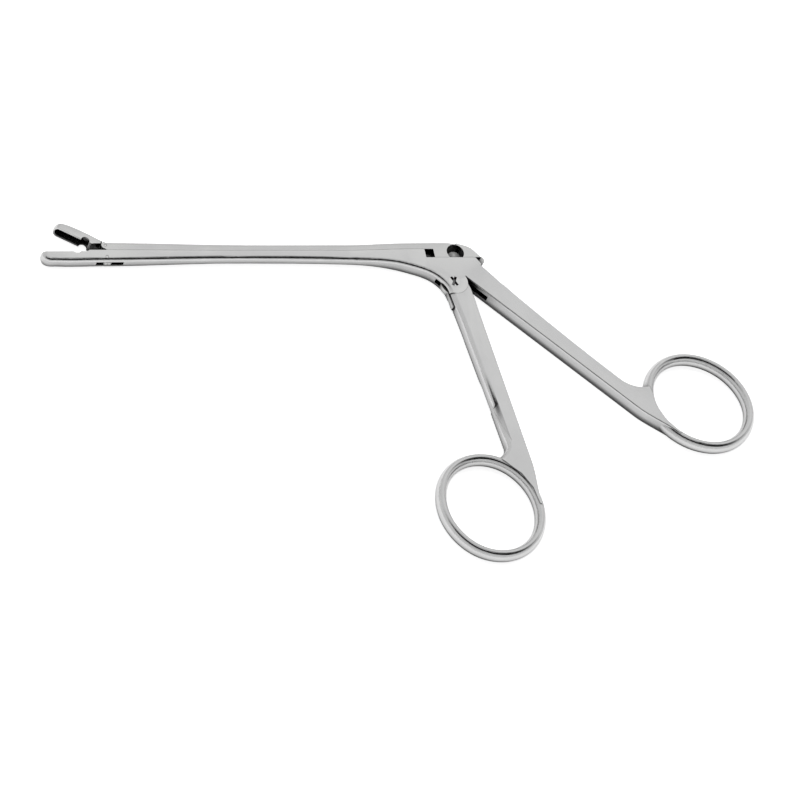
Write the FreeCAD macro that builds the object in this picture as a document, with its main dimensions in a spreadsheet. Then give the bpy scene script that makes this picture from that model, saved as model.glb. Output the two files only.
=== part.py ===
"""Nasal forceps with a sliding upper shaft, a cup jaw and two ring handles, lying on one side.

Frame: millimetres, +Z up from the surface the forceps lie on, +X from the jaws towards the handles,
+Y towards the sliding shaft. The origin is under the handles' pivot, on the resting surface.
Every piece is drawn about the middle plane of the instrument and lifted by half the body's thickness.
The jaws are drawn open, as the instrument rests, and the finger handle closes them.
"""
import FreeCAD, Part
import Sketcher
import math
import os
from FreeCAD import Placement, Rotation, Vector

os.makedirs("parts", exist_ok=True)
doc = FreeCAD.newDocument("nasal_forceps")

SIZES = (
    # Thickness of the instrument, across its flat sides
    ("body_thickness", 4.3),
    ("waist_thickness", 3.0),
    ("jaw_thickness", 3.55),
    ("nose_length", 1.4),
    # Sliding faces, as heights above the handles' pivot
    ("slide_height", 10.0),
    ("rear_slide_height", 7.42),
    ("sliding_clearance", 0.02),
    ("body_step_reach", 6.15),
    ("window_length", 2.45),
    ("body_corner_reach", 8.7),
    ("body_corner_height", 5.35),
    ("body_chamfer", 1.2),
    # Reaches from the handles' pivot towards the jaws
    ("jaw_pivot_reach", 92.05),
    ("waist_reach", 58.0),
    ("shoulder_reach", 27.0),
    ("elbow_reach", 11.3),
    # Depths of the fixed shaft below its sliding face, and heights of the slider above it
    ("rim_drop", 0.45),
    ("jaw_depth", 3.05),
    ("waist_depth", 2.45),
    ("shoulder_depth", 2.85),
    ("elbow_depth", 4.95),
    ("slider_waist_height", 2.0),
    ("slider_shoulder_height", 2.0),
    ("slider_rear_height", 2.25),
    # Jaws, with lengths from their pivot
    ("lower_jaw_length", 16.95),
    ("upper_jaw_length", 15.3),
    ("cup_wall", 0.5),
    ("cup_length", 9.2),
    ("cup_depth", 1.75),
    ("upper_jaw_height", 2.3),
    ("upper_nose_drop", 0.25),
    ("nose_drop", 0.8),
    ("jaw_gap", 0.05),
    ("notch_radius", 1.1),
    ("upper_notch_place", 6.7),
    ("lower_notch_place", 7.5),
    ("lower_notch_radius", 1.0),
    ("lower_notch_depth", 0.45),
    ("rim_end", 4.9),
    ("rim_slope_length", 0.6),
    ("jaw_open_angle", 31.0),
    ("link_lean", 2.0),
    ("jaw_pivot_height", 8.0),
    ("link_height", 11.4),
    ("pin_radius", 0.4),
    ("pin_clearance", 0.08),
    ("pin_recess", 0.05),
    ("tongue_thickness", 1.1),
    ("tongue_clearance", 0.05),
    ("tongue_length", 4.9),
    ("heel_radius", 1.1),
    ("heel_offset", 0.85),
    ("link_eye_radius", 1.05),
    ("slider_tip_radius", 1.05),
    ("tip_clearance", 0.1),
    ("jaw_slot_front", 2.65),
    ("jaw_slot_length", 7.2),
    ("fork_length", 3.4),
    # Joint of the handles
    ("eye_radius", 3.7),
    ("eye_clearance", 0.04),
    ("screw_radius", 1.1),
    ("screw_clearance", 0.05),
    ("screw_head_radius", 1.6),
    ("screw_head_height", 0.8),
    ("screw_slot_width", 0.7),
    ("screw_slot_length", 2.9),
    ("screw_slot_depth", 0.5),
    ("screw_slot_spread", 26.0),
    ("drive_radius", 8.58),
    ("drive_angle", 74.8),
    ("head_radius", 1.8),
    ("head_clearance", 0.06),
    ("seat_hole_radius", 2.35),
    ("seat_hole_rise", 0.72),
    ("neck_width", 2.2),
    ("tang_eye_radius", 3.2),
    ("tang_thickness", 1.5),
    ("tang_clearance", 0.05),
    ("keel_thickness", 1.4),
    ("keel_depth", 1.55),
    ("keel_front_reach", 8.6),
    ("keel_rear_reach", 8.6),
    ("keel_end_clearance", 0.4),
    ("keel_end_reach", 9.3),
    ("keel_end_radius", 1.15),
    ("slider_foot_reach", 9.1),
    ("slider_rounding_end", 3.0),
    # Guide studs between the two shafts
    ("first_stud_reach", 68.0),
    ("stud_spacing", 44.0),
    ("stud_radius", 0.4),
    ("stud_depth", 1.2),
    ("stud_head_radius", 0.75),
    ("stud_head_height", 0.45),
    ("stud_neck_height", 0.55),
    ("stud_clearance", 0.06),
    ("stud_entry", 1.6),
    # Handles: directions below +X, edges as distances from the pivot, and widths
    ("thumb_angle", 46.4),
    ("thumb_edge", 3.5),
    ("thumb_root_width", 6.5),
    ("thumb_middle_width", 5.07),
    ("thumb_end_width", 4.22),
    ("finger_angle", 84.73),
    ("finger_edge", 4.0),
    ("finger_flare", 0.55),
    ("finger_flare_length", 3.1),
    ("finger_root_width", 5.95),
    ("finger_middle_width", 5.4),
    ("finger_end_width", 5.0),
    ("handle_middle_reach", 20.0),
    ("handle_end_reach", 49.0),
    # Rings
    ("ring_length_radius", 14.08),
    ("ring_width_radius", 12.96),
    ("ring_end_radius", 12.4),
    ("ring_band", 2.8),
    ("ring_thickness", 4.0),
    ("ring_crown_radius", 1.0),
    ("ring_turn", 3.5),
    ("thumb_ring_reach", 68.5),
    ("thumb_ring_offset", 14.8),
    ("finger_ring_reach", 66.28),
    ("finger_ring_offset", 14.5),
    # Edge rounding
    ("shaft_rounding", 0.9),
    ("slider_rounding", 0.7),
    ("sharp_rounding", 0.35),
    ("thumb_rounding", 0.6),
    ("finger_back_rounding", 1.4),
)

sheet = doc.addObject("Spreadsheet::Sheet", "sizes")
for row, (alias, value) in enumerate(SIZES, start=1):
    sheet.set(f"A{row}", alias.replace("_", " "))
    sheet.set(f"B{row}", str(value))
    sheet.setAlias(f"B{row}", alias)
doc.recompute()


def size(alias):
    """The number in the sheet's cell of that name."""
    return float(sheet.get(alias))


def bound(text):
    """An expression in which each word that names a cell is looked up in the sheet."""
    words = sorted((alias for alias, value in SIZES), key=len, reverse=True)
    parts = text.split(" ")
    return " ".join(f"sizes.{part}" if part in words else part for part in parts)


# Measures that follow from the sheet
link_rise = size("link_height") - size("jaw_pivot_height")
open_lean = math.radians(size("link_lean"))
closed_lean = math.radians(size("jaw_open_angle")) - open_lean
slider_travel = link_rise * (math.tan(open_lean) + math.tan(closed_lean))
drive_angle = math.radians(size("drive_angle"))
closed_cosine = math.cos(drive_angle) - slider_travel / size("drive_radius")
handle_range = math.degrees(math.acos(closed_cosine) - drive_angle)
head_x = size("drive_radius") * math.cos(drive_angle)
head_y = size("drive_radius") * math.sin(drive_angle)
jaw_pivot = Vector(-size("jaw_pivot_reach"), size("jaw_pivot_height"), 0)
link_open = Vector(jaw_pivot.x + link_rise * math.tan(open_lean), size("link_height"), 0)
link_closed = Vector(link_open.x - slider_travel, size("link_height"), 0)
lower_tip_reach = size("jaw_pivot_reach") + size("lower_jaw_length")
upper_tip_reach = size("jaw_pivot_reach") + size("upper_jaw_length")
slide_height = size("slide_height")
rear_slide_height = size("rear_slide_height")
half_body = size("body_thickness") / 2
tang_slot = size("tang_thickness") + 2 * size("tang_clearance")
tongue_slot = size("tongue_thickness") + 2 * size("tongue_clearance")

WIDE = 60.0
THROUGH = 12.0


def line(start, end):
    return Part.makeLine(start, end)


def arc(start, middle, end):
    return Part.Arc(start, middle, end).toShape()


def heading(degrees):
    """A direction in the plane, by its angle from +X."""
    turn = math.radians(degrees)
    return Vector(math.cos(turn), math.sin(turn), 0)


def flow(stations):
    """Smooth curves through points, each with the direction in which the outline passes it."""
    edges = []
    for (start, leaving), (end, arriving) in zip(stations, stations[1:]):
        pull = start.distanceToPoint(end) / 3
        curve = Part.BezierCurve()
        curve.setPoles([start, start + leaving * pull, end - arriving * pull, end])
        edges.append(curve.toShape())
    return edges


def outline(name, edges):
    """A flat face bounded by the edges, which follow one another."""
    feature = doc.addObject("Part::Feature", name)
    feature.Shape = Part.Face(Part.Wire(edges))
    return feature


def polygon(name, points):
    return outline(name, [line(a, b) for a, b in zip(points, points[1:] + points[:1])])


def plate(name, face, thickness, direction=Vector(0, 0, 1)):
    """A face thickened equally to both sides by an expression on the sheet."""
    solid = doc.addObject("Part::Extrusion", name)
    solid.Base = face
    solid.DirMode = "Custom"
    solid.Dir = direction
    solid.Solid = True
    solid.Symmetric = True
    solid.setExpression("LengthFwd", bound(thickness))
    return solid


def cylinder(name, radius, height, centre):
    """A cylinder along Z, its middle at the centre in the plane."""
    solid = doc.addObject("Part::Cylinder", name)
    solid.setExpression("Radius", bound(radius))
    solid.setExpression("Height", bound(height))
    solid.Placement.Base = Vector(centre.x, centre.y, 0)
    solid.setExpression("Placement.Base.z", bound(f"-( {height} ) / 2"))
    return solid


def slot_box(name, x_range, y_range, width):
    """A box between two reaches and two heights, of a width that straddles the middle plane."""
    solid = doc.addObject("Part::Box", name)
    solid.Length = x_range[1] - x_range[0]
    solid.Width = y_range[1] - y_range[0]
    solid.setExpression("Height", bound(width))
    solid.Placement.Base = Vector(x_range[0], y_range[0], 0)
    solid.setExpression("Placement.Base.z", bound(f"-( {width} ) / 2"))
    return solid


def join(name, pieces):
    solid = doc.addObject("Part::MultiFuse", name)
    solid.Shapes = pieces
    solid.Refine = True
    return solid


def shared(name, pieces):
    solid = doc.addObject("Part::MultiCommon", name)
    solid.Shapes = pieces
    return solid


def cut(name, base, tools):
    tool = tools[0]
    if len(tools) > 1:
        tool = join(name + "_tools", tools)
    solid = doc.addObject("Part::Cut", name)
    solid.Base = base
    solid.Tool = tool
    return solid


def rounded(name, base, choose):
    """Fillets on the edges for which choose gives a start and an end radius."""
    doc.recompute()
    picked = []
    for number, edge in enumerate(base.Shape.Edges, start=1):
        radii = choose(edge)
        if radii:
            picked.append((number, radii[0], radii[1]))
    solid = doc.addObject("Part::Fillet", name)
    solid.Base = base
    solid.Edges = picked
    return solid


class Handle:
    """Directions along and across a handle, measured from the pivot."""

    def __init__(self, angle):
        turn = math.radians(-angle)
        self.along = Vector(math.cos(turn), math.sin(turn), 0)
        self.across = Vector(-self.along.y, self.along.x, 0)
        self.across_angle = 90 - angle
        self.turn = -angle

    def at(self, reach, level):
        return self.along * reach + self.across * level

    def reach(self, place):
        return place.dot(self.along)

    def level(self, place):
        return place.dot(self.across)


thumb = Handle(size("thumb_angle"))
finger = Handle(size("finger_angle"))


def oval(middle, outward):
    """The ring's section: flat flanks and small round crowns, as four arcs that meet smoothly."""
    half_tall = size("ring_thickness") / 2
    half_wide = size("ring_band") / 2
    crown = size("ring_crown_radius")
    crown_centre = half_tall - crown
    flank = (crown_centre ** 2 + half_wide ** 2 - crown ** 2) / 2 / (half_wide - crown)
    flank_centre = flank - half_wide
    lean = Vector(outward * flank_centre + Vector(0, 0, crown_centre)).normalize() * crown
    across = outward * lean.dot(outward)
    up = Vector(0, 0, crown_centre + lean.z)
    corners = [middle + across + up, middle - across + up, middle - across - up, middle + across - up]
    crests = [Vector(0, 0, half_tall), outward * -half_wide, Vector(0, 0, -half_tall), outward * half_wide]
    edges = []
    for number, crest in enumerate(crests):
        edges.append(arc(corners[number], middle + crest, corners[(number + 1) % 4]))
    return Part.Wire(edges)


def ring(name, handle, reach, level, turn):
    """A ring of oval section, bent along four arcs that meet smoothly."""
    long_radius = size("ring_length_radius")
    short_radius = size("ring_width_radius")
    end_radius = size("ring_end_radius")
    end_centre = long_radius - end_radius
    side_radius = (end_centre ** 2 + short_radius ** 2 - end_radius ** 2) / 2 / (short_radius - end_radius)
    side_centre = side_radius - short_radius
    half_end = math.degrees(math.atan2(side_centre, end_centre))
    arcs = (
        (Vector(end_centre, 0, 0), end_radius, -half_end, 2 * half_end),
        (Vector(0, -side_centre, 0), side_radius, half_end, 180 - 2 * half_end),
        (Vector(-end_centre, 0, 0), end_radius, 180 - half_end, 2 * half_end),
        (Vector(0, side_centre, 0), side_radius, 180 + half_end, 180 - 2 * half_end),
    )
    pieces = []
    for centre, radius, start, sweep in arcs:
        face = Part.Face(oval(centre + heading(start) * radius, heading(start)))
        pieces.append(face.revolve(centre, Vector(0, 0, 1), sweep))
    band = doc.addObject("Part::Feature", name)
    band.Shape = pieces[0].multiFuse(pieces[1:]).removeSplitter()
    band.Placement = Placement(handle.at(reach, level), Rotation(Vector(0, 0, 1), handle.turn + turn))
    return band


def ring_point(handle, reach, level, angle, outward=0):
    """A point of the ring, by its angle from the handle's direction.

    Outward is the part of the band's width by which it lies outside the ring's middle line.
    """
    turn = math.radians(angle)
    along = (size("ring_length_radius") + outward * size("ring_band")) * math.cos(turn)
    across = (size("ring_width_radius") + outward * size("ring_band")) * math.sin(turn)
    return handle.at(reach + along, level + across)


def plan(name, tip_reach):
    """The shafts seen from their sliding side: a round nose, a slim waist and the full body."""
    half_jaw = size("jaw_thickness") / 2
    half_waist = size("waist_thickness") / 2
    forward = Vector(1, 0, 0)
    outward = Vector(0, 0, 1)
    stations = [
        (Vector(-tip_reach, 0, 0), outward),
        (Vector(-tip_reach + size("nose_length"), 0, half_jaw), forward),
        (Vector(jaw_pivot.x, 0, half_jaw), forward),
        (Vector(-size("waist_reach"), 0, half_waist), forward),
        (Vector(-size("shoulder_reach"), 0, half_waist), forward),
        (Vector(-size("elbow_reach"), 0, half_body), forward),
        (Vector(WIDE, 0, half_body), forward),
    ]
    far_side = [(Vector(place.x, 0, -place.z), Vector(-way.x, 0, way.z)) for place, way in stations]
    edges = flow(stations)
    edges.append(line(stations[-1][0], far_side[-1][0]))
    edges.extend(flow(far_side[::-1]))
    face = outline(name + "_plan", edges)
    return plate(name, face, str(2 * WIDE), Vector(0, 1, 0))


def finish(name, feature, placement=None):
    """Names the sub-part and lifts it so that the instrument lies on the surface."""
    feature.Label = name
    feature.Placement = placement or Placement()
    feature.setExpression("Placement.Base.z", bound("body_thickness / 2"))
    return feature


# The fixed forging: lower shaft with its cup jaw, joint body, and thumb handle with its ring

def lower_shaft_outline():
    rim = slide_height - size("rim_drop")
    tip = Vector(-lower_tip_reach, rim - size("nose_drop"), 0)
    rim_end = Vector(jaw_pivot.x - size("rim_end"), rim, 0)
    jaw_root = Vector(rim_end.x + size("rim_slope_length"), slide_height, 0)
    notch_middle = Vector(jaw_pivot.x - size("lower_notch_place"), rim, 0)
    notch_half = Vector(size("lower_notch_radius"), 0, 0)
    notch_floor = notch_middle - Vector(0, size("lower_notch_depth"), 0)
    eye = size("eye_radius")
    crotch_angle = thumb.across_angle - math.degrees(math.acos(size("thumb_edge") / eye))
    crotch = heading(crotch_angle) * eye
    finger_back = size("finger_edge") - size("finger_root_width")
    eye_left = finger.at(math.sqrt(eye ** 2 - finger_back ** 2), finger_back)
    belly = [
        (tip, heading(-90)),
        (tip + Vector(1.3, 1.1 - 0.86 * size("jaw_depth"), 0), heading(-32)),
        (tip + Vector(4.5, 1.05 - 0.96 * size("jaw_depth"), 0), heading(-3)),
        (Vector(jaw_pivot.x, slide_height - size("jaw_depth"), 0), heading(0)),
        (Vector(-size("waist_reach"), slide_height - size("waist_depth"), 0), heading(0)),
        (Vector(-size("shoulder_reach"), slide_height - size("shoulder_depth"), 0), heading(-2)),
        (Vector(-size("elbow_reach"), slide_height - size("elbow_depth"), 0), heading(-19)),
        (Vector(-0.4 * size("elbow_reach"), 0.5 * eye, 0), heading(-42)),
        (eye_left, finger.along),
    ]
    root_corner = thumb.at(thumb.reach(crotch) + 1.0, size("thumb_edge") + 5.0)
    body_corner = Vector(size("body_corner_reach"), size("body_corner_height"), 0)
    chamfer_end = Vector(body_corner.x - size("body_chamfer"), rear_slide_height, 0)
    step_bottom = Vector(-size("body_step_reach"), rear_slide_height, 0)
    step_top = Vector(-size("body_step_reach"), slide_height, 0)
    rim_front = Vector(tip.x + size("cup_wall"), rim, 0)
    edges = flow(belly)
    edges.append(arc(eye_left, heading(-70) * eye, crotch))
    corners = [crotch, root_corner, body_corner, chamfer_end, step_bottom, step_top, jaw_root, rim_end]
    corners.append(notch_middle + notch_half)
    edges.extend([line(a, b) for a, b in zip(corners, corners[1:])])
    edges.append(arc(notch_middle + notch_half, notch_floor, notch_middle - notch_half))
    edges.append(line(notch_middle - notch_half, rim_front))
    edges.extend(flow([(rim_front, heading(180)), (tip, heading(-90))]))
    return outline("lower_shaft_outline", edges)


def cup(name, tip_reach, bottom):
    """The hollow of a jaw, narrower than the jaw by its wall and rounded at both ends."""
    wall = size("cup_wall")
    half_width = size("jaw_thickness") / 2 - wall
    nose = Vector(wall - tip_reach, 0, 0)
    shoulder = nose + Vector(size("nose_length") - wall, 0, half_width)
    back = nose + Vector(size("cup_length"), 0, 0)
    round_start = back + Vector(-half_width, 0, half_width)
    far_shoulder = Vector(shoulder.x, 0, -half_width)
    far_start = Vector(round_start.x, 0, -half_width)
    edges = flow([(nose, Vector(0, 0, 1)), (shoulder, Vector(1, 0, 0))])
    edges.append(line(shoulder, round_start))
    edges.append(arc(round_start, back, far_start))
    edges.append(line(far_start, far_shoulder))
    edges.extend(flow([(far_shoulder, Vector(-1, 0, 0)), (nose, Vector(0, 0, 1))]))
    hollow = doc.addObject("Part::Extrusion", name)
    hollow.Base = outline(name + "_plan", edges)
    hollow.DirMode = "Custom"
    hollow.Dir = Vector(0, 1, 0)
    hollow.Solid = True
    hollow.setExpression("LengthFwd", bound("2 * cup_depth"))
    hollow.Placement.Base = Vector(0, bottom, 0)
    return hollow


def studs(name, shank_radius, shank_bottom, shank_top, head_radius, head_top):
    """Solids of revolution along Y at each stud's place: a shank and a head."""
    pieces = []
    for number in range(2):
        reach = size("first_stud_reach") - number * size("stud_spacing")
        shank = Part.makeCylinder(shank_radius, shank_top - shank_bottom,
                                  Vector(-reach, shank_bottom, 0), Vector(0, 1, 0))
        head = Part.makeCylinder(head_radius, head_top - shank_top,
                                 Vector(-reach, shank_top, 0), Vector(0, 1, 0))
        pieces.append(shank.fuse(head).removeSplitter())
    feature = doc.addObject("Part::Feature", name)
    feature.Shape = Part.makeCompound(pieces)
    return feature


def bar(name, handle, side, ring_reach, ring_level, edge_level, back, web_angle, flare=0):
    """A flat handle, one edge of which runs on into the outside of its ring.

    Side is 1 where the handle's width and its ring lie on the higher levels, and -1 on the lower
    ones. Back holds three points of the other edge, from the ring to the root. A small web fills the
    corner between that edge and the ring. A flare narrows the root on the side of the first edge.
    """
    def on_ring(angle, outward):
        return ring_point(handle, ring_reach, ring_level, -side * angle, outward)

    edge_start = handle.at(-0.5, edge_level - flare)
    edge_end = handle.at(ring_reach - 11, edge_level)
    straight_start = edge_start
    edges = []
    if flare:
        straight_start = handle.at(size("finger_flare_length") - 0.5, edge_level)
        edges.append(line(edge_start, straight_start))
    edges.append(line(straight_start, edge_end))
    edges.extend(flow([(edge_end, handle.along), (on_ring(84, 0.15), handle.along)]))
    hidden = [on_ring(84, 0.15)]
    hidden.extend([on_ring(angle, -0.08) for angle in (84, 104, 124, 142)])
    hidden.append(on_ring(web_angle, 0.2))
    edges.extend([line(a, b) for a, b in zip(hidden, hidden[1:])])
    leaving = (handle.along * -0.45 - handle.across * side).normalize()
    back_edge = arc(*back)
    arriving = (back_edge.valueAt(back_edge.FirstParameter + 0.001 * back_edge.Length) - back[0])
    if arriving.dot(handle.along) > 0:
        arriving = arriving * -1
    edges.extend(flow([(hidden[-1], leaving), (back[0], arriving.normalize())]))
    edges.append(back_edge)
    edges.append(line(back[-1], edge_start))
    return plate(name, outline(name + "_outline", edges), "body_thickness")


def soft_bar(name, base, handle, edge_level, edge_rounding, back_rounding):
    """The handle with its long edges rounded."""
    def choose(edge):
        middle = edge.valueAt((edge.FirstParameter + edge.LastParameter) / 2)
        on_edge = abs(handle.level(middle) - edge_level) < 1
        flared = on_edge and handle.reach(middle) < 2 and edge.Length > 2
        if (edge.Length < 10 and not flared) or abs(abs(middle.z) - half_body) > 0.01:
            return None
        radius = edge_rounding if on_edge else back_rounding
        return (radius, radius)

    return rounded(name, base, choose)


def make_lower_shaft():
    side = plate("lower_shaft_side", lower_shaft_outline(), "body_thickness")
    slim = shared("lower_shaft_slim", [side, plan("lower_shaft_taper", lower_tip_reach)])

    nose_end = -lower_tip_reach + 0.5

    def belly_rounding(edge):
        middle = edge.valueAt((edge.FirstParameter + edge.LastParameter) / 2)
        under = middle.y < slide_height - 1.2 and nose_end < middle.x < -8
        if under and edge.BoundBox.ZLength < 1.5 and edge.Length > 1:
            return (size("shaft_rounding"), size("shaft_rounding"))
        return None

    smooth = rounded("lower_shaft_smooth", slim, belly_rounding)
    edge_level = size("thumb_edge")
    ring_level = edge_level + size("thumb_ring_offset")
    back = [
        thumb.at(size("handle_end_reach"), edge_level + size("thumb_end_width")),
        thumb.at(size("handle_middle_reach"), edge_level + size("thumb_middle_width")),
        thumb.at(1.0, edge_level + size("thumb_root_width")),
    ]
    flat = bar("thumb_bar", thumb, 1, size("thumb_ring_reach"), ring_level, edge_level, back, 150)
    thumb_bar = soft_bar("thumb_bar_smooth", flat, thumb, edge_level, size("sharp_rounding"),
                         size("thumb_rounding"))
    band = ring("thumb_ring", thumb, size("thumb_ring_reach"), ring_level, size("ring_turn"))
    whole = join("lower_shaft_whole", [smooth, thumb_bar, band])
    tang_room = polygon("tang_room_outline", [
        Vector(-5.2, -1.5, 0), Vector(-4.1, 2.3, 0), Vector(-3.2, 3.4, 0),
        Vector(-3.2, rear_slide_height + 1, 0),
        Vector(4.7, rear_slide_height + 1, 0), Vector(5.6, 2.6, 0), thumb.at(9.0, size("thumb_edge") + 0.8),
        thumb.at(9.2, size("thumb_edge") - 1.0), Vector(0, -4.5, 0)])
    slot_top = slide_height + 1
    keel_floor = rear_slide_height - size("keel_depth") - size("sliding_clearance")
    jaw_slot_start = -size("jaw_pivot_reach") - size("jaw_slot_front")
    cutters = [
        plate("tang_room", tang_room, "tang_thickness + 2 * tang_clearance"),
        slot_box("keel_room", (-size("keel_front_reach") - slider_travel - size("keel_end_clearance"), 12),
                 (keel_floor, slot_top), "tang_thickness + 2 * tang_clearance"),
        slot_box("jaw_slot", (jaw_slot_start, jaw_slot_start + size("jaw_slot_length")),
                 (0, slot_top), "tongue_thickness + 2 * tongue_clearance"),
        cylinder("jaw_pin_hole", "pin_radius", str(THROUGH), jaw_pivot),
        cylinder("screw_hole", "screw_radius", str(THROUGH), Vector(0, 0, 0)),
        screw_head_room(),
        cup("lower_cup", lower_tip_reach, slide_height - size("rim_drop") - size("cup_depth")),
        studs("stud_holes", size("stud_radius"), slide_height - size("stud_depth"), slide_height,
              size("stud_radius"), slide_height + 0.5),
    ]
    return finish("lower_shaft", cut("lower_shaft_cut", whole, cutters))


def screw_head_room():
    """The countersink for the pivot screw's head in the upper cheek."""
    room = doc.addObject("Part::Cylinder", "screw_head_room")
    room.setExpression("Radius", bound("screw_head_radius"))
    room.setExpression("Height", bound("screw_head_height + 1"))
    room.setExpression("Placement.Base.z", bound("body_thickness / 2 - screw_head_height"))
    return room


def turned_screw():
    """A screw with its head flush with the upper cheek and its end with the lower one."""
    body = doc.addObject("PartDesign::Body", "pivot_screw_body")
    side = body.newObject("Sketcher::SketchObject", "pivot_screw_side")
    plane = next(item for item in body.Origin.OriginFeatures if item.Role == "XZ_Plane")
    side.AttachmentSupport = (plane, "")
    side.MapMode = "FlatFace"
    top = half_body
    shoulder = half_body - size("screw_head_height")
    shank = size("screw_radius")
    head = size("screw_head_radius")
    corners = [(0, -top), (shank, -top), (shank, shoulder), (head, shoulder), (head, top), (0, top)]
    for start, end in zip(corners, corners[1:] + corners[:1]):
        side.addGeometry(Part.LineSegment(Vector(*start, 0), Vector(*end, 0)))
    count = len(corners)
    for number in range(count):
        side.addConstraint(Sketcher.Constraint("Coincident", number, 2, (number + 1) % count, 1))
    names = ("shank_width", "head_width", "low_end", "head_seat", "high_end")
    measures = (
        ("DistanceX", 1, 1, "screw_radius"),
        ("DistanceX", 3, 2, "screw_head_radius"),
        ("DistanceY", 0, 1, "-1 * body_thickness / 2"),
        ("DistanceY", 2, 1, "body_thickness / 2 - screw_head_height"),
        ("DistanceY", 4, 1, "body_thickness / 2"),
    )
    for name, (kind, edge, end, text) in zip(names, measures):
        place = Vector(*corners[(edge + end - 1) % count], 0)
        value = place.x if kind == "DistanceX" else place.y
        index = side.addConstraint(Sketcher.Constraint(kind, -1, 1, edge, end, value))
        side.renameConstraint(index, name)
        side.setExpression(f"Constraints.{name}", bound(text))
    for edge in (0, 2, 4):
        side.addConstraint(Sketcher.Constraint("Horizontal", edge))
    for edge in (1, 3, 5):
        side.addConstraint(Sketcher.Constraint("Vertical", edge))
    side.addConstraint(Sketcher.Constraint("PointOnObject", 0, 1, -2))
    turned = body.newObject("PartDesign::Revolution", "pivot_screw_turned")
    turned.Profile = side
    turned.ReferenceAxis = (side, ["V_Axis"])
    turned.Angle = 360
    return body


def make_handle_pivot_screw():
    """The turned screw with two crossed slots in its head."""
    grooves = []
    for number, turn in enumerate((90 - size("screw_slot_spread"), 90 + size("screw_slot_spread")), start=1):
        groove = doc.addObject("Part::Box", f"screw_groove_{number}")
        groove.setExpression("Length", bound("screw_slot_length"))
        groove.setExpression("Width", bound("screw_slot_width"))
        groove.setExpression("Height", bound("screw_slot_depth + 1"))
        spin = Rotation(Vector(0, 0, 1), turn)
        corner = Vector(size("screw_slot_length"), size("screw_slot_width"), 0) * -0.5
        groove.Placement = Placement(spin.multVec(corner), spin)
        groove.setExpression("Placement.Base.z", bound("body_thickness / 2 - screw_slot_depth"))
        grooves.append(groove)
    return finish("handle_pivot_screw", cut("slotted_screw", turned_screw(), grooves))


# The slider: upper shaft with its keel, the seat for the handle's head, and the fork at its tip

def guide_slots():
    """T-shaped grooves that hold the studs' heads, each with a wider place where the head enters."""
    clearance = size("stud_clearance")
    bottom = slide_height - 1
    neck = size("stud_radius") + clearance
    head = size("stud_head_radius") + clearance
    ledge = slide_height + size("stud_neck_height") - clearance
    roof = slide_height + size("stud_neck_height") + size("stud_head_height") + clearance
    pieces = []
    for number in range(2):
        start = -size("first_stud_reach") + number * size("stud_spacing") - size("stud_entry")
        run = size("stud_entry") + slider_travel + 2 * clearance
        for radius, low, high in ((neck, bottom, roof), (head, ledge, roof)):
            box = Part.makeBox(run, high - low, 2 * radius, Vector(start, low, -radius))
            end = Part.makeCylinder(radius, high - low, Vector(start + run, low, 0), Vector(0, 1, 0))
            pieces.extend([box, end])
        pieces.append(Part.makeCylinder(head, roof - bottom, Vector(start, bottom, 0), Vector(0, 1, 0)))
    feature = doc.addObject("Part::Feature", "guide_slots")
    feature.Shape = pieces[0].multiFuse(pieces[1:])
    return feature


def upper_shaft_outline():
    bottom = slide_height + size("sliding_clearance")
    rear_bottom = rear_slide_height + size("sliding_clearance")
    radius = size("slider_tip_radius")
    step = -size("body_step_reach") + size("window_length")
    tip_low = link_open + heading(-100) * radius
    tip_top = link_open + Vector(0, radius, 0)
    chin = Vector(link_open.x + 0.1, bottom, 0)
    rear_foot = Vector(size("slider_foot_reach"), rear_bottom, 0)
    rear_shoulder = Vector(6.9, slide_height + 0.25, 0)
    top = [
        (rear_shoulder, heading(146)),
        (Vector(3.6, slide_height + 1.62, 0), heading(161)),
        (Vector(0, slide_height + size("slider_rear_height"), 0), heading(180)),
        (Vector(-size("shoulder_reach"), slide_height + size("slider_shoulder_height"), 0), heading(180)),
        (Vector(-size("waist_reach"), slide_height + size("slider_waist_height"), 0), heading(179.4)),
        (tip_top, heading(180)),
    ]
    edges = [line(chin, Vector(step, bottom, 0)), line(Vector(step, bottom, 0), Vector(step, rear_bottom, 0))]
    edges.append(line(Vector(step, rear_bottom, 0), rear_foot))
    edges.append(line(rear_foot, rear_shoulder))
    edges.extend(flow(top))
    edges.append(arc(tip_top, link_open + heading(165) * radius, tip_low))
    edges.append(line(tip_low, chin))
    return outline("upper_shaft_outline", edges)


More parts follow.
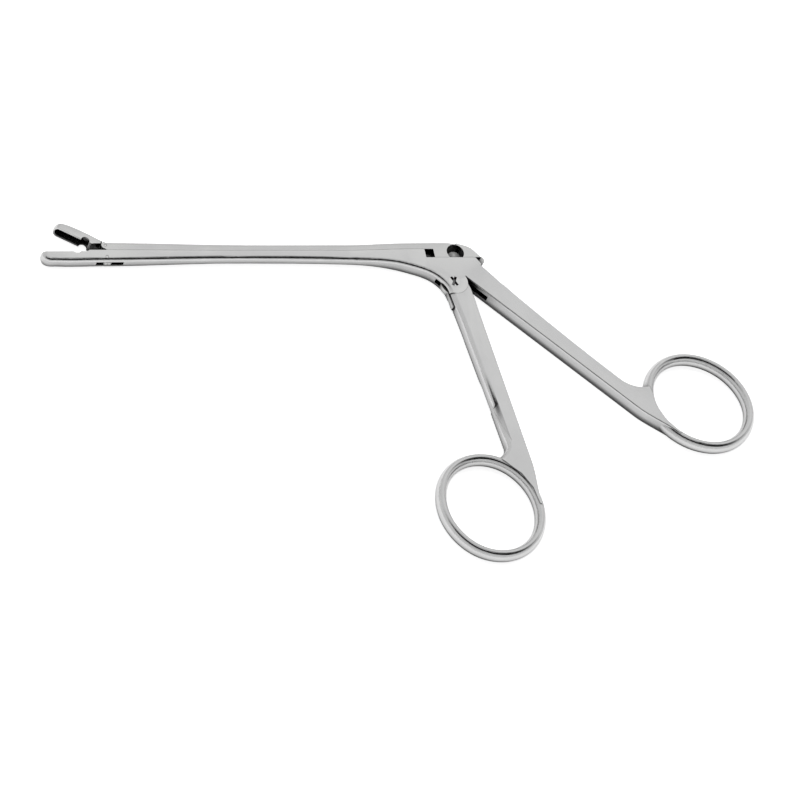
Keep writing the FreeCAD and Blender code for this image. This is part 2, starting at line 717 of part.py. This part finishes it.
def make_upper_shaft():
    side = plate("upper_shaft_side", upper_shaft_outline(), "body_thickness")
    taper = plan("upper_shaft_taper", lower_tip_reach)
    slim = shared("upper_shaft_slim", [side, taper])
    rear_start = size("slider_rounding_end")

    def top_rounding(edge):
        middle = edge.valueAt((edge.FirstParameter + edge.LastParameter) / 2)
        if middle.y > slide_height + 1.2 and edge.BoundBox.XLength > 2:
            return (size("slider_rounding"), size("slider_rounding"))
        return None

    front_space = slot_box("upper_front_space", (link_open.x, rear_start), (0, 2 * slide_height), str(THROUGH))
    rear_space = slot_box("upper_rear_space", (rear_start, 2 * THROUGH), (0, 2 * slide_height), str(THROUGH))
    front = rounded("upper_shaft_front", shared("upper_front_slim", [slim, front_space]), top_rounding)
    rear = shared("upper_shaft_rear", [slim, rear_space])
    tip_space = slot_box("upper_tip_space", (link_open.x - 5, link_open.x), (0, 2 * slide_height), str(THROUGH))
    tip = shared("slider_tip", [slim, tip_space])
    keel_bottom = rear_slide_height - size("keel_depth")
    keel_end = Vector(size("keel_end_reach"), rear_slide_height, 0)
    keel_front = -size("keel_front_reach")
    sunk = 0.5
    keel = polygon("keel_outline", [
        Vector(keel_front, keel_bottom, 0), Vector(size("keel_rear_reach"), keel_bottom, 0),
        Vector(keel_end.x, keel_bottom + sunk, 0), Vector(keel_end.x, keel_end.y + sunk, 0),
        Vector(-3, rear_slide_height + sunk, 0), Vector(-3, slide_height + sunk, 0),
        Vector(keel_front, slide_height + sunk, 0)])
    whole = join("upper_shaft_whole", [
        front, rear, tip, plate("keel", keel, "keel_thickness"),
        cylinder("keel_end", "keel_end_radius", "keel_thickness", keel_end)])
    half_seat = size("head_radius") + size("head_clearance")
    fork_start = link_open.x - 2
    cutters = [
        slot_box("lever_pocket", (head_x - half_seat, head_x + half_seat), (0, slide_height + 1.1),
                 "tang_thickness + 2 * tang_clearance"),
        cylinder("seat_hole", "seat_hole_radius", str(THROUGH),
                 Vector(head_x, head_y + size("seat_hole_rise"), 0)),
        slot_box("fork_slot", (fork_start, link_open.x - size("slider_tip_radius") + size("fork_length")),
                 (0, 2 * slide_height), "tongue_thickness + 2 * tongue_clearance"),
        cylinder("link_pin_hole", "pin_radius", str(THROUGH), link_open),
        guide_slots(),
    ]
    return finish("upper_shaft", cut("upper_shaft_cut", whole, cutters))


# The upper jaw, drawn closed and then opened about its pivot

def upper_jaw_outline():
    rim = slide_height - size("rim_drop") + size("jaw_gap")
    raised = slide_height + size("jaw_gap")
    top = slide_height + size("upper_jaw_height")
    tip = Vector(-upper_tip_reach, rim + size("nose_drop"), 0)
    shoulder = size("slider_tip_radius") + size("tip_clearance")
    shoulder_top = link_closed + heading(146) * shoulder
    shoulder_low = link_closed + heading(206) * shoulder
    rim_end = Vector(jaw_pivot.x - size("rim_end"), rim, 0)
    raised_start = Vector(rim_end.x + size("rim_slope_length"), raised, 0)
    notch_middle = Vector(jaw_pivot.x - size("upper_notch_place"), rim, 0)
    notch_half = Vector(size("notch_radius"), 0, 0)
    notch_top = notch_middle + Vector(0, size("notch_radius"), 0)
    nose_top = Vector(tip.x + 2.2, top - size("upper_nose_drop") - 0.2, 0)
    crown = [
        (shoulder_top, heading(180)),
        (Vector(notch_middle.x - 2.2, top - size("upper_nose_drop") / 2, 0), heading(181.5)),
        (nose_top, heading(192)),
        (tip, heading(-90)),
    ]
    rim_front = Vector(tip.x + size("cup_wall"), rim, 0)
    edges = flow(crown)
    edges.extend(flow([(tip, heading(-90)), (rim_front, heading(0))]))
    edges.append(line(rim_front, notch_middle - notch_half))
    edges.append(arc(notch_middle - notch_half, notch_top, notch_middle + notch_half))
    edges.append(line(notch_middle + notch_half, rim_end))
    edges.append(line(rim_end, raised_start))
    edges.append(line(raised_start, shoulder_low))
    edges.append(arc(shoulder_low, link_closed + heading(180) * shoulder, shoulder_top))
    return outline("upper_jaw_outline", edges)


def make_upper_jaw():
    side = plate("upper_jaw_side", upper_jaw_outline(), "body_thickness")
    slim = shared("upper_jaw_slim", [side, plan("upper_jaw_taper", upper_tip_reach)])

    def crown_rounding(edge):
        middle = edge.valueAt((edge.FirstParameter + edge.LastParameter) / 2)
        if middle.y > slide_height + 1.6 and edge.BoundBox.XLength > 4:
            return (size("slider_rounding"), size("slider_rounding"))
        return None

    smooth = rounded("upper_jaw_smooth", slim, crown_rounding)
    hollow = cup("upper_cup", upper_tip_reach, slide_height - 2 * size("cup_depth") + 1.3)
    shell = cut("upper_jaw_shell", smooth, [hollow])
    heel_radius = size("heel_radius")
    heel = jaw_pivot + heading(size("jaw_open_angle")) * size("heel_offset")
    tongue_front = jaw_pivot.x - size("tongue_length")
    tongue = polygon("tongue_outline", [
        Vector(tongue_front, link_closed.y + 0.5, 0), Vector(tongue_front, slide_height + 0.3, 0),
        Vector(jaw_pivot.x - 1.5 * heel_radius, slide_height + 0.1, 0),
        Vector(jaw_pivot.x - heel_radius, jaw_pivot.y, 0), heel,
        Vector(link_closed.x + size("link_eye_radius"), link_closed.y, 0),
        link_closed + Vector(0, size("link_eye_radius"), 0)])
    pieces = [
        shell,
        plate("tongue", tongue, "tongue_thickness"),
        cylinder("pivot_eye", "heel_radius", "tongue_thickness", jaw_pivot),
        cylinder("heel", "heel_radius", "tongue_thickness", heel),
        cylinder("link_eye", "link_eye_radius", "tongue_thickness", link_closed),
    ]
    whole = join("upper_jaw_whole", pieces)
    radial = (link_closed - jaw_pivot).normalize()
    lowest = jaw_pivot + radial * link_rise
    slot_radius = size("pin_radius") + size("pin_clearance")
    aside = Vector(-radial.y, radial.x, 0) * slot_radius
    slot = polygon("link_slot_outline", [lowest + aside, lowest - aside, link_closed - aside, link_closed + aside])
    cutters = [
        cylinder("jaw_pivot_hole", "pin_radius + pin_clearance", str(THROUGH), jaw_pivot),
        cylinder("link_slot_low", "pin_radius + pin_clearance", str(THROUGH), lowest),
        cylinder("link_slot_high", "pin_radius + pin_clearance", str(THROUGH), link_closed),
        plate("link_slot_middle", slot, str(THROUGH)),
    ]
    opened = Placement(Vector(), Rotation(Vector(0, 0, 1), -size("jaw_open_angle")), jaw_pivot)
    return finish("upper_jaw", cut("upper_jaw_cut", whole, cutters), opened)


# The finger handle: ring and bar, and the tang that turns between the cheeks and ends in a head

def make_finger_handle():
    edge_level = size("finger_edge")
    ring_level = edge_level - size("finger_ring_offset")
    back = [
        finger.at(size("handle_end_reach"), edge_level - size("finger_end_width")),
        finger.at(size("handle_middle_reach"), edge_level - size("finger_middle_width")),
        finger.at(-0.5, edge_level - size("finger_root_width")),
    ]
    flat = bar("finger_bar", finger, -1, size("finger_ring_reach"), ring_level, edge_level, back, 154,
               size("finger_flare"))
    soft = soft_bar("finger_bar_smooth", flat, finger, edge_level, size("sharp_rounding"),
                    size("finger_back_rounding"))
    eye_room = cylinder("finger_eye_room", "eye_radius + eye_clearance", str(THROUGH), Vector())
    outer = cut("finger_outer", soft, [eye_room])
    band = ring("finger_ring", finger, size("finger_ring_reach"), ring_level, size("ring_turn"))
    head = Vector(head_x, head_y, 0)
    along = Vector(head).normalize()
    aside = Vector(-along.y, along.x, 0) * (size("neck_width") / 2)
    neck = polygon("neck_outline", [aside, aside * -1, head - aside, head + aside])
    foot = polygon("foot_outline", [
        finger.at(0, edge_level - 0.4), finger.at(7, edge_level - 0.4), finger.at(7, -2.2), finger.at(0, -2.2)])
    pieces = [
        outer,
        band,
        plate("neck", neck, "tang_thickness"),
        plate("tang_foot", foot, "tang_thickness"),
        cylinder("tang_eye", "tang_eye_radius", "tang_thickness", Vector()),
        cylinder("head", "head_radius", "tang_thickness", head),
    ]
    whole = join("finger_handle_whole", pieces)
    hole = cylinder("finger_screw_hole", "screw_radius + screw_clearance", str(THROUGH), Vector())
    return finish("finger_handle", cut("finger_handle_cut", whole, [hole]))


def make_guide_studs():
    neck_top = slide_height + size("stud_neck_height")
    solids = studs("stud_solids", size("stud_radius"), slide_height - size("stud_depth"), neck_top,
                   size("stud_head_radius"), neck_top + size("stud_head_height"))
    return finish("guide_studs", solids)


def make_pin(name, centre):
    pin = cylinder(name + "_pin", "pin_radius", "jaw_thickness - 2 * pin_recess", centre)
    pin.Label = name
    pin.setExpression("Placement.Base.z", bound("body_thickness / 2 - jaw_thickness / 2 + pin_recess"))
    return pin


doc.recompute()
nodes = [
    make_lower_shaft(),
    make_upper_shaft(),
    make_upper_jaw(),
    make_finger_handle(),
    make_handle_pivot_screw(),
    make_pin("jaw_pivot_pin", jaw_pivot),
    make_pin("jaw_link_pin", link_open),
    make_guide_studs(),
]
doc.recompute()
failures = []
for item in doc.Objects:
    if "Invalid" in item.State or "Error" in item.State:
        failures.append(item.Name)
for node in nodes:
    if node.Shape.isNull() or not node.Shape.isValid():
        failures.append(node.Label)
if failures:
    raise RuntimeError("objects that failed: " + ", ".join(failures))
for node in nodes:
    node.Shape.exportStep(f"parts/{node.Label}.step")
    box = node.Shape.BoundBox
    print(node.Label, len(node.Shape.Solids), round(node.Shape.Volume, 1),
          [round(value, 2) for value in (box.XMin, box.XMax, box.YMin, box.YMax, box.ZMin, box.ZMax)])
print("slider travel", round(slider_travel, 4), "handle range", round(handle_range, 3))
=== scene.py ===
"""Satin steel nasal forceps lying on one side on a white surface.

Metres, in the model's frame: +Z up from the surface, +X from the jaws towards the handles.
"""
import math

import bpy
from mathutils import Matrix, Vector

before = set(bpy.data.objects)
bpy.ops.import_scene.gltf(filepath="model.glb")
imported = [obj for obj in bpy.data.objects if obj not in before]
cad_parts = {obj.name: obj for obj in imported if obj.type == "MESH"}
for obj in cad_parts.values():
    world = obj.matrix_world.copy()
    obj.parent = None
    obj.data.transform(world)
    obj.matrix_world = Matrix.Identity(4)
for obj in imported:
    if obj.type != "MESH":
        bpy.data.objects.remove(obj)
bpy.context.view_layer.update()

# The photograph's view: where the camera stands, which way its image lies, and its lens
CAMERA_PLACE = Vector((-0.419, -0.591, 0.887))
IMAGE_RIGHT = Vector((0.935, -0.200, 0.294))
IMAGE_UP = Vector((0.012, 0.844, 0.536))
LENS = 199.0
SENSOR = 36.0

THUMB_ANGLE = math.radians(-46.4)
FINGER_ANGLE = math.radians(-84.7)
# Each node's tone, the way it is brushed, the depth of its grain and the width of its softened edges
STEELS = {
    "lower_shaft": (0.53, THUMB_ANGLE, 0.35, 0.00005),
    "upper_shaft": (0.5, 0.0, 0.35, 0.00012),
    "upper_jaw": (0.52, 0.0, 0.35, 0.0001),
    "finger_handle": (0.53, FINGER_ANGLE, 0.35, 0.00005),
    "handle_pivot_screw": (0.53, 0.0, 0.2, 0.00004),
    "jaw_pivot_pin": (0.53, 0.0, 0.2, 0.00004),
    "jaw_link_pin": (0.53, 0.0, 0.2, 0.00004),
    "guide_studs": (0.53, 0.0, 0.2, 0.00004),
}
ROUGHNESS = 0.22
STREAK_STRETCH = 0.06
CLOUD_SCALE = 90
STREAK_SCALE = 4200
FINE_SCALE = 9000
GRAIN_DEPTH = 0.00003
# How bright the steel's colour stays, by how much of its surroundings a point sees: painted shade in
# hollows, slots and next to the floor
HOLLOW_PAINTED_SHADE = ((0.35, 0.01), (0.8, 0.3), (0.97, 1.0))
HOLLOW_REACH = 0.0024

TENT_RADIUS = 2.8
TENT_RINGS = 8
TENT_SECTORS = 32
TENT_LEVEL = 0.94
FLOOR_REACH = 3.0
# The floor lies just under the object, so that their faces are not in one plane
FLOOR_DROP = 0.00002
FLOOR_GLOW = 0.84
CONTACT_REACH = 0.005


def make_camera():
    data = bpy.data.cameras.new("photo_view")
    data.lens = LENS
    data.sensor_width = SENSOR
    data.clip_start = 0.05
    data.clip_end = 20
    camera = bpy.data.objects.new("photo_view", data)
    bpy.context.scene.collection.objects.link(camera)
    right = IMAGE_RIGHT.normalized()
    up = (IMAGE_UP - right * IMAGE_UP.dot(right)).normalized()
    back = right.cross(up)
    turn = Matrix((right, up, back)).transposed()
    camera.matrix_world = Matrix.Translation(CAMERA_PLACE) @ turn.to_4x4()
    bpy.context.scene.camera = camera


class Nodes:
    """A short way to add and link the nodes of a material or a world."""

    def __init__(self, tree):
        self.tree = tree
        tree.nodes.clear()

    def add(self, kind, **settings):
        node = self.tree.nodes.new(kind)
        for name, value in settings.items():
            setattr(node, name, value)
        return node

    def link(self, source, target):
        self.tree.links.new(source, target)

    def ramp(self, source, stops):
        node = self.add("ShaderNodeValToRGB")
        elements = node.color_ramp.elements
        while len(elements) < len(stops):
            elements.new(0.5)
        for element, (place, value) in zip(elements, stops):
            element.position = place
            element.color = (value, value, value, 1)
        self.link(source, node.inputs["Fac"])
        return node.outputs["Color"]

    def math(self, operation, first, second):
        node = self.add("ShaderNodeMath", operation=operation)
        for socket, value in zip(node.inputs, (first, second)):
            if isinstance(value, (int, float)):
                socket.default_value = value
            else:
                self.link(value, socket)
        return node.outputs["Value"]

    def step(self, source, low, high):
        """A smooth rise from 0 to 1 between two values; low may be the larger one."""
        node = self.add("ShaderNodeMapRange", interpolation_type="SMOOTHSTEP")
        node.inputs["From Min"].default_value = low
        node.inputs["From Max"].default_value = high
        self.link(source, node.inputs["Value"])
        return node.outputs["Result"]

    def noise(self, coordinates, scale, detail):
        node = self.add("ShaderNodeTexNoise")
        node.inputs["Scale"].default_value = scale
        node.inputs["Detail"].default_value = detail
        self.link(coordinates, node.inputs["Vector"])
        return node.outputs["Fac"]


def steel(name, tone, angle, grain, softness):
    """Blasted and lightly brushed steel, brushed along a direction in the plane, with painted shade
    darkening its hollows, slots and the faces near the floor.
    """
    material = bpy.data.materials.new(name)
    material.use_nodes = True
    nodes = Nodes(material.node_tree)
    output = nodes.add("ShaderNodeOutputMaterial")
    shader = nodes.add("ShaderNodeBsdfPrincipled")
    shader.inputs["Metallic"].default_value = 1.0
    nodes.link(shader.outputs["BSDF"], output.inputs["Surface"])
    place = nodes.add("ShaderNodeTexCoord").outputs["Object"]

    turned = nodes.add("ShaderNodeMapping")
    turned.inputs["Rotation"].default_value = (0, 0, -angle)
    nodes.link(place, turned.inputs["Vector"])
    stretched = nodes.add("ShaderNodeMapping")
    stretched.inputs["Scale"].default_value = (STREAK_STRETCH, 1, 1)
    nodes.link(turned.outputs["Vector"], stretched.inputs["Vector"])

    clouds = nodes.noise(place, CLOUD_SCALE, 3)
    streaks = nodes.noise(stretched.outputs["Vector"], STREAK_SCALE, 2)
    fine = nodes.noise(place, FINE_SCALE, 2)

    colour = nodes.ramp(clouds, [(0.3, tone * 0.95), (0.7, tone * 1.04)])
    edge = nodes.add("ShaderNodeNewGeometry").outputs["Pointiness"]
    worn = nodes.ramp(edge, [(0.52, 0.0), (0.6, 1.0)])
    bright = nodes.add("ShaderNodeMix", data_type="RGBA")
    nodes.link(worn, bright.inputs["Factor"])
    nodes.link(colour, bright.inputs["A"])
    bright.inputs["B"].default_value = (tone * 1.1, tone * 1.1, tone * 1.09, 1)
    # Painted shade: the colour is darkened where a point sees little of its surroundings, in hollows, slots
    # and next to the floor
    hidden = nodes.add("ShaderNodeAmbientOcclusion", samples=12)
    hidden.inputs["Distance"].default_value = HOLLOW_REACH
    shade = nodes.ramp(hidden.outputs["AO"], HOLLOW_PAINTED_SHADE)
    shaded_colour = nodes.add("ShaderNodeMix", data_type="RGBA", blend_type="MULTIPLY")
    shaded_colour.inputs["Factor"].default_value = 1.0
    nodes.link(bright.outputs["Result"], shaded_colour.inputs["A"])
    nodes.link(shade, shaded_colour.inputs["B"])
    nodes.link(shaded_colour.outputs["Result"], shader.inputs["Base Color"])

    rough = nodes.add("ShaderNodeMapRange")
    rough.inputs["To Min"].default_value = ROUGHNESS - 0.05
    rough.inputs["To Max"].default_value = ROUGHNESS + 0.06
    nodes.link(streaks, rough.inputs["Value"])
    nodes.link(rough.outputs["Result"], shader.inputs["Roughness"])

    texture = nodes.math("ADD", streaks, fine)
    soft = nodes.add("ShaderNodeBevel", samples=6)
    soft.inputs["Radius"].default_value = softness
    bump = nodes.add("ShaderNodeBump")
    nodes.link(soft.outputs["Normal"], bump.inputs["Normal"])
    bump.inputs["Strength"].default_value = grain
    bump.inputs["Distance"].default_value = GRAIN_DEPTH
    nodes.link(texture, bump.inputs["Height"])
    nodes.link(bump.outputs["Normal"], shader.inputs["Normal"])
    return material


def dress():
    """Gives every CAD node its steel."""
    for node, (tone, angle, grain, softness) in STEELS.items():
        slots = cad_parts[node].data.materials
        slots.clear()
        slots.append(steel(node + "_steel", tone, angle, grain, softness))


def make_world():
    world = bpy.data.worlds.new("white_room")
    bpy.context.scene.world = world
    world.use_nodes = True
    nodes = Nodes(world.node_tree)
    output = nodes.add("ShaderNodeOutputWorld")
    white = nodes.add("ShaderNodeBackground")
    white.inputs["Color"].default_value = (1, 1, 1, 1)
    nodes.link(white.outputs["Background"], output.inputs["Surface"])


def tent_light(material):
    """Bright all round, with a dark card in front above the horizon."""
    material.use_nodes = True
    nodes = Nodes(material.node_tree)
    output = nodes.add("ShaderNodeOutputMaterial")
    place = nodes.add("ShaderNodeTexCoord").outputs["Object"]
    direction = nodes.add("ShaderNodeVectorMath", operation="NORMALIZE")
    nodes.link(place, direction.inputs[0])
    split = nodes.add("ShaderNodeSeparateXYZ")
    nodes.link(direction.outputs["Vector"], split.inputs["Vector"])
    side, depth, height = split.outputs["X"], split.outputs["Y"], split.outputs["Z"]
    tall = nodes.math("MULTIPLY", nodes.step(height, 0.38, 0.5), nodes.step(height, 0.985, 0.94))
    wide = nodes.math("MULTIPLY", nodes.step(side, -0.85, -0.65), nodes.step(side, 0.85, 0.65))
    card = nodes.math("MULTIPLY", nodes.math("MULTIPLY", tall, wide), nodes.step(depth, 0.36, -0.04))
    total = nodes.math("MULTIPLY", TENT_LEVEL, nodes.math("SUBTRACT", 1.0, card))
    glow = nodes.add("ShaderNodeEmission")
    nodes.link(total, glow.inputs["Color"])
    nodes.link(glow.outputs["Emission"], output.inputs["Surface"])


def make_tent():
    """A light tent over the floor, with the camera inside it."""
    corners = [(0, 0, TENT_RADIUS)]
    faces = []
    for ring in range(1, TENT_RINGS + 1):
        tilt = math.radians(90 * ring / TENT_RINGS)
        out = TENT_RADIUS * math.sin(tilt)
        first = (ring - 1) * TENT_SECTORS + 1
        for sector in range(TENT_SECTORS):
            turn = 2 * math.pi * sector / TENT_SECTORS
            corners.append((out * math.cos(turn), out * math.sin(turn), TENT_RADIUS * math.cos(tilt)))
            mine, beside = first + sector, first + (sector + 1) % TENT_SECTORS
            if ring == 1:
                faces.append((0, mine, beside))
            else:
                faces.append((mine - TENT_SECTORS, mine, beside, beside - TENT_SECTORS))
    mesh = bpy.data.meshes.new("tent")
    mesh.from_pydata(corners, [], faces)
    tent = bpy.data.objects.new("tent", mesh)
    bpy.context.scene.collection.objects.link(tent)
    material = bpy.data.materials.new("tent_light")
    tent_light(material)
    mesh.materials.append(material)


def make_floor():
    """A white floor, with its own glow for the camera and the metal, and a painted contact shade in the
    glow that the metal sees.
    """
    reach = FLOOR_REACH
    mesh = bpy.data.meshes.new("floor")
    corners = [(-reach, -reach, 0), (reach, -reach, 0), (reach, reach, 0), (-reach, reach, 0)]
    mesh.from_pydata(corners, [], [(0, 1, 2, 3)])
    floor = bpy.data.objects.new("floor", mesh)
    bpy.context.scene.collection.objects.link(floor)
    floor.location.z = -FLOOR_DROP
    material = bpy.data.materials.new("white_floor")
    material.use_nodes = True
    nodes = Nodes(material.node_tree)
    output = nodes.add("ShaderNodeOutputMaterial")
    matt = nodes.add("ShaderNodeBsdfDiffuse")
    matt.inputs["Color"].default_value = (0.9, 0.9, 0.9, 1)
    path = nodes.add("ShaderNodeLightPath")
    # Painted contact shade: the glow that glossy rays see is dimmed where the floor sees little of its
    # surroundings, next to the object
    near = nodes.add("ShaderNodeAmbientOcclusion", samples=8)
    near.inputs["Distance"].default_value = CONTACT_REACH
    shade = nodes.ramp(near.outputs["AO"], [(0.35, 0.05), (0.97, FLOOR_GLOW)])
    tone = nodes.add("ShaderNodeMix", data_type="RGBA")
    nodes.link(path.outputs["Is Camera Ray"], tone.inputs["Factor"])
    nodes.link(shade, tone.inputs["A"])
    tone.inputs["B"].default_value = (FLOOR_GLOW, FLOOR_GLOW, FLOOR_GLOW, 1)
    glow = nodes.add("ShaderNodeEmission")
    nodes.link(tone.outputs["Result"], glow.inputs["Color"])
    both = nodes.add("ShaderNodeAddShader")
    nodes.link(matt.outputs["BSDF"], both.inputs[0])
    nodes.link(glow.outputs["Emission"], both.inputs[1])
    seen = nodes.math("MAXIMUM", path.outputs["Is Camera Ray"], path.outputs["Is Glossy Ray"])
    seen = nodes.math("MAXIMUM", seen, path.outputs["Is Transmission Ray"])
    mix = nodes.add("ShaderNodeMixShader")
    nodes.link(seen, mix.inputs["Fac"])
    nodes.link(matt.outputs["BSDF"], mix.inputs[1])
    nodes.link(both.outputs["Shader"], mix.inputs[2])
    nodes.link(mix.outputs["Shader"], output.inputs["Surface"])
    mesh.materials.append(material)


def area_light(name, place, target, size, power):
    data = bpy.data.lights.new(name, "AREA")
    data.shape = "SQUARE"
    data.size = size
    data.energy = power
    light = bpy.data.objects.new(name, data)
    bpy.context.scene.collection.objects.link(light)
    light.location = place
    light.rotation_euler = (Vector(target) - Vector(place)).to_track_quat("-Z", "Y").to_euler()


make_camera()
dress()
make_world()
make_tent()
make_floor()
area_light("key", (0.44, 0.62, 0.93), (-0.02, -0.03, 0), 0.9, 0.3)
bpy.context.scene.view_settings.view_transform = "Standard"
